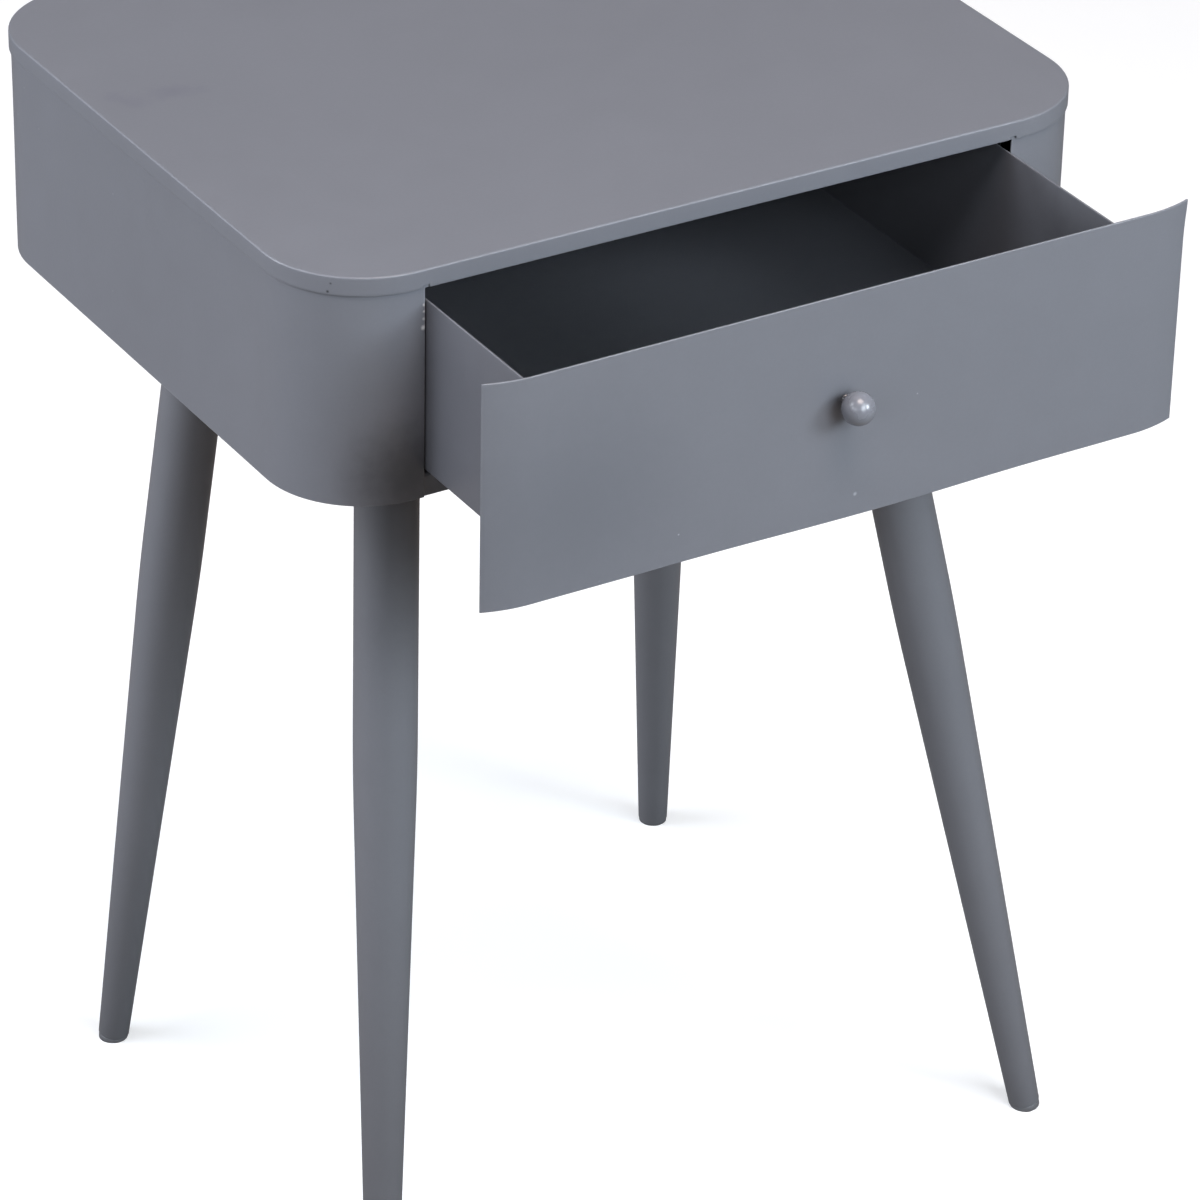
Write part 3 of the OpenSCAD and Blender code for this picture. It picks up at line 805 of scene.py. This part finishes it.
def makeWall(name, node, body, tab, *materials):
    # flat wall across the drawer, with an optional raised tab in the middle
    low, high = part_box(node)
    top = trayHigh.z
    xs = easedStops(low.x, high.x, 16, rimStep)
    if tab:
        xs = np.unique(np.concatenate([xs[abs(xs) > tab], [-tab, tab], np.linspace(-tab, tab, 5)]))
    zs = easedStops(low.z, top, 8, rimStep)
    if tab:
        zs = np.concatenate([zs, np.linspace(top, high.z, 4)[1:]])
    xx, zz = np.meshgrid(xs, zs, indexing="ij")
    grid = np.stack([xx, 0 * xx + low.y, zz], -1)
    keep = None
    if tab:
        midX, midZ = (xs[1:] + xs[:-1]) / 2, (zs[1:] + zs[:-1]) / 2
        keep = (midZ < top)[None, :] | (abs(midX) < tab)[:, None]
    piece = meshFromGrid(name, grid, keep=keep)
    thicken(piece, high.y - low.y, 0.25 * mm)
    return finish(piece, body, [node], *materials)


makeWall("innerFrontSheet", "drawer_inner_front", "drawer", 0, shadedInsidePaint)
makeWall("drawerBackSheet", "drawer_back", "drawer", 15 * mm, shadedInsidePaint)
print("drawer made")

knobSpec = {
    "neck": 2.5 * mm,
    "foot": 2.9 * mm,
    "footThick": 0.6 * mm,
    "footEase": 0.2 * mm,
    "fillet": 0.8 * mm,
}


def makeKnob(s):
    # a ball that runs through a small fillet into its neck and foot
    low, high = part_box("knob")
    r = (high.x - low.x) / 2
    centre = ((low.x + high.x) / 2, low.y + r, (low.z + high.z) / 2)
    reach = high.y - centre[1]
    stop = math.asin(min(1, (s["neck"] + s["fillet"] * 0.6) / r))
    around = np.linspace(0.02, math.pi - stop, 40)
    rim = s["foot"] - s["footEase"]
    radii = np.concatenate([r * np.sin(around), [s["neck"], s["neck"], rim, s["foot"], s["foot"]]])
    ballEnd = -r * math.cos(math.pi - stop)
    footFrom = reach - s["footThick"]
    along = np.concatenate([
        -r * np.cos(around),
        [ballEnd + 0.35 * mm, footFrom - 0.3 * mm, footFrom, footFrom + 0.15 * mm, reach],
    ])
    almostBack = (0, 1, 0.0001)  # a hair off straight back, so that a side direction can be found
    return turned("knobBall", centre, almostBack, radii, along, 64)


finish(makeKnob(knobSpec), "drawer", ["knob"], knobPaint)
print("knob made")


legSpec = {
    "width": 32 * mm,
    "footWidth": 16.4 * mm,
    "straight": 0.384,  # share of the length before the taper starts
    "soften": 22 * mm,
    "up": 3 * mm,
    "show": 2.6 * mm,  # how much of the glide shows under the tube
    "lip": 0.5 * mm,
    "capAlong": [0.02 * mm, 0.35 * mm, 1.2 * mm, 2.2 * mm, 3.4 * mm, 4.4 * mm],
    "capEase": [0.4 * mm, 0, 0, 0, 0.1 * mm, 0.8 * mm],
}
legTop = (135 * mm, 92.6 * mm)  # from the middle of the case


def makeLeg(corner, xs, ys, s):
    # straight tube, then a taper to the foot; near the change the radius follows the
    # parabola (d + w)^2 / 4w, where d is the distance past it and w the softening
    top = np.array([caseMiddle[0] + xs * legTop[0], caseMiddle[1] + ys * legTop[1], caseLow.z])
    foot = np.array(footAt[corner], float)
    length = float(np.linalg.norm(foot - top))
    axis = (foot - top) / length
    taperFrom = s["straight"] * length
    end = length - s["show"]
    lip = s["lip"]
    along = np.concatenate([[-s["up"], -s["up"] + 0.4 * mm], np.linspace(0, taperFrom - s["soften"], 6),
                            np.linspace(taperFrom - s["soften"], taperFrom + s["soften"], 13)[1:],
                            np.linspace(taperFrom + s["soften"], end - lip, 14)[1:]])
    slope = (s["width"] - s["footWidth"]) / 2 / (length - taperFrom)
    past = along - taperFrom
    w = s["soften"]
    eased = np.where(past > w, past, np.where(past < -w, 0, (past + w) ** 2 / (4 * w)))
    radii = s["width"] / 2 - slope * eased
    radii[0] -= 0.4 * mm
    turn = np.linspace(0, np.pi / 2, 5)[1:]
    radii = np.concatenate([radii, radii[-1] - lip + lip * np.cos(turn), [radii[-1] - 1.4 * mm]])
    along = np.concatenate([along, end - lip + lip * np.sin(turn), [end]])
    tube = turned("leg" + corner.title().replace("_", "") + "Tube", top, axis, radii, along, 72)
    finish(tube, "table", ["leg_" + corner], tubePaint)
    rim = s["footWidth"] / 2 - 0.3 * mm
    capAlong = end + np.array(s["capAlong"])
    capRadii = rim - np.array(s["capEase"])
    cap = turned("glide" + corner.title().replace("_", ""), top, axis, capRadii, capAlong, 48)
    points = np.array([v.co for v in cap.data.vertices])
    points[:, 2] = np.maximum(points[:, 2], 0)  # worn flat by the floor
    cap.data.vertices.foreach_set("co", points.ravel())
    finish(cap, "table", ["foot_glide_" + corner], greyPlastic)


corners = {"front_left": (-1, -1), "front_right": (1, -1), "back_left": (-1, 1), "back_right": (1, 1)}
for corner, (xs, ys) in corners.items():
    makeLeg(corner, xs, ys, legSpec)
print("legs made")

# the small hardware keeps its own meshes and only gets a finish
hardware = {
    "seat_rivets": zincSteel,
    "leg_studs": zincSteel,
    "knob_screw": zincSteel,
    "drawer_stop": shadePaint,
}
for corner in corners:
    hardware["leg_seat_" + corner] = zincSteel
    hardware["leg_plug_" + corner] = zincSteel
for name, material in hardware.items():
    node = frame["nodes"][name]
    node.data.materials.clear()
    node.data.materials.append(material)
print("hardware finished")


studio = {
    "floorSeen": 0.6,
    "floorGlow": 0.5,
    "floorBounce": (0.195, 0.172, 0.154),
    "skySeen": 0.9,
    "skyLight": 0.07,
    "aim": (0, 0, 0.45),
    "front": -90.7,  # direction of the front, seen from above
}
coolTint, sideTint, topTint = (0.819, 0.913, 1.0), (0.860, 0.912, 1.0), (1.0, 0.845, 0.787)
lamps = {  # degrees round from the front, degrees up, metres off, disc width, watts, tint
    "frontLow": (2, 25, 3.0, 1.4, 40.0, coolTint),
    "frontRight": (34, 25, 2.3, 0.8, 27.0, coolTint),
    "frontHigh": (14, 40, 3.0, 1.4, 18.0, coolTint),
    "leftLow": (-112, 12, 3.0, 0.9, 26.5, sideTint),
    "leftMiddle": (-126, 25, 3.0, 1.2, 40.0, sideTint),
    "leftHigh": (-98, 40, 3.0, 1.2, 31.0, sideTint),
    "leftSpark": (-72, 26, 3.0, 0.34, 8.0, sideTint),
    "leftFront": (-50, 21, 3.0, 0.9, 8.0, sideTint),
    "overhead": (0, 72, 3.0, 1.7, 58.0, topTint),
}


def makeFloor(s):
    # pale paper; what it throws back on the piece is softer than what is seen of it
    mesh = bpy.data.meshes.new("studioFloor")
    mesh.from_pydata([(-20, -20, 0), (20, -20, 0), (20, 20, 0), (-20, 20, 0)], [], [(0, 1, 2, 3)])
    floor = bpy.data.objects.new("studioFloor", mesh)
    bpy.context.scene.collection.objects.link(floor)
    made = bpy.data.materials.new("floorPaper")
    made.use_nodes = True
    n, link = made.node_tree.nodes, made.node_tree.links.new
    shader = n["Principled BSDF"]
    place = n.new("ShaderNodeTexCoord")
    tooth = n.new("ShaderNodeTexNoise")
    tooth.inputs["Scale"].default_value = 30
    link(place.outputs["Object"], tooth.inputs["Vector"])
    tone = n.new("ShaderNodeMapRange")
    tone.inputs["To Min"].default_value = s["floorSeen"] - 0.004
    tone.inputs["To Max"].default_value = s["floorSeen"] + 0.004
    link(tooth.outputs["Fac"], tone.inputs["Value"])
    rays = n.new("ShaderNodeLightPath")
    mix = n.new("ShaderNodeMix")
    mix.data_type = "RGBA"
    mix.inputs[6].default_value = (*s["floorBounce"], 1)
    link(rays.outputs["Is Camera Ray"], mix.inputs[0])
    link(tone.outputs["Result"], mix.inputs[7])
    link(mix.outputs[2], shader.inputs["Base Color"])
    glow = n.new("ShaderNodeMath")
    glow.operation = "MULTIPLY"
    glow.inputs[1].default_value = s["floorGlow"]
    link(rays.outputs["Is Camera Ray"], glow.inputs[0])
    shader.inputs["Emission Color"].default_value = (1, 1, 1, 1)
    link(glow.outputs[0], shader.inputs["Emission Strength"])
    shader.inputs["Roughness"].default_value = 0.95
    shader.inputs["Specular IOR Level"].default_value = 0.0
    mesh.materials.append(made)


def makeLamp(name, s, around, up, off, wide, watts, tint):
    # a disc that faces the aim from the given direction and distance
    data = bpy.data.lights.new(name, "AREA")
    data.shape = "DISK"
    data.size = wide
    data.energy = watts
    data.color = tint
    turn, lift = math.radians(s["front"] + around), math.radians(up)
    toward = Vector((math.cos(lift) * math.cos(turn), math.cos(lift) * math.sin(turn), math.sin(lift)))
    lamp = bpy.data.objects.new(name, data)
    lamp.location = Vector(s["aim"]) + off * toward
    lamp.rotation_euler = (-toward).to_track_quat("-Z", "Y").to_euler()
    bpy.context.scene.collection.objects.link(lamp)


def makeSky(s):
    # pale to look at, but it adds only a little light
    world = bpy.data.worlds.new("studioSky")
    bpy.context.scene.world = world
    world.use_nodes = True
    n, link = world.node_tree.nodes, world.node_tree.links.new
    rays = n.new("ShaderNodeLightPath")
    strength = n.new("ShaderNodeMapRange")
    strength.inputs["To Min"].default_value = s["skyLight"]
    strength.inputs["To Max"].default_value = s["skySeen"]
    link(rays.outputs["Is Camera Ray"], strength.inputs["Value"])
    n["Background"].inputs["Color"].default_value = (1, 1, 1, 1)
    link(strength.outputs["Result"], n["Background"].inputs["Strength"])


makeFloor(studio)
makeSky(studio)
for name, lamp in lamps.items():
    makeLamp(name, studio, *lamp)

cameraSpec = {
    "place": (-1.330659, -2.178836, 1.806718),
    "yaw": 0.550588, "pitch": 0.527099, "roll": -0.021769,
    "lens": 174.0258, "sensor": 36,
}


def makeCamera(s):
    # forward, right and down from yaw and pitch, then turned by the roll
    data = bpy.data.cameras.new("camera")
    data.sensor_width = s["sensor"]
    data.lens = s["lens"]
    data.clip_start, data.clip_end = 0.05, 100
    cy, sy = math.cos(s["yaw"]), math.sin(s["yaw"])
    cp, sp = math.cos(s["pitch"]), math.sin(s["pitch"])
    forward = np.array([sy * cp, cy * cp, -sp])
    right = np.array([cy, -sy, 0.0])
    down = np.cross(forward, right)
    cr, sr = math.cos(s["roll"]), math.sin(s["roll"])
    right, down = right * cr + down * sr, -right * sr + down * cr
    camera = bpy.data.objects.new("camera", data)
    turn = np.stack([right, -down, -forward], 1)
    camera.matrix_world = Matrix.Translation(s["place"]) @ Matrix(turn.tolist()).to_4x4()
    bpy.context.scene.collection.objects.link(camera)
    bpy.context.scene.camera = camera


makeCamera(cameraSpec)
bpy.context.scene.view_settings.view_transform = "Standard"
print("studio made")
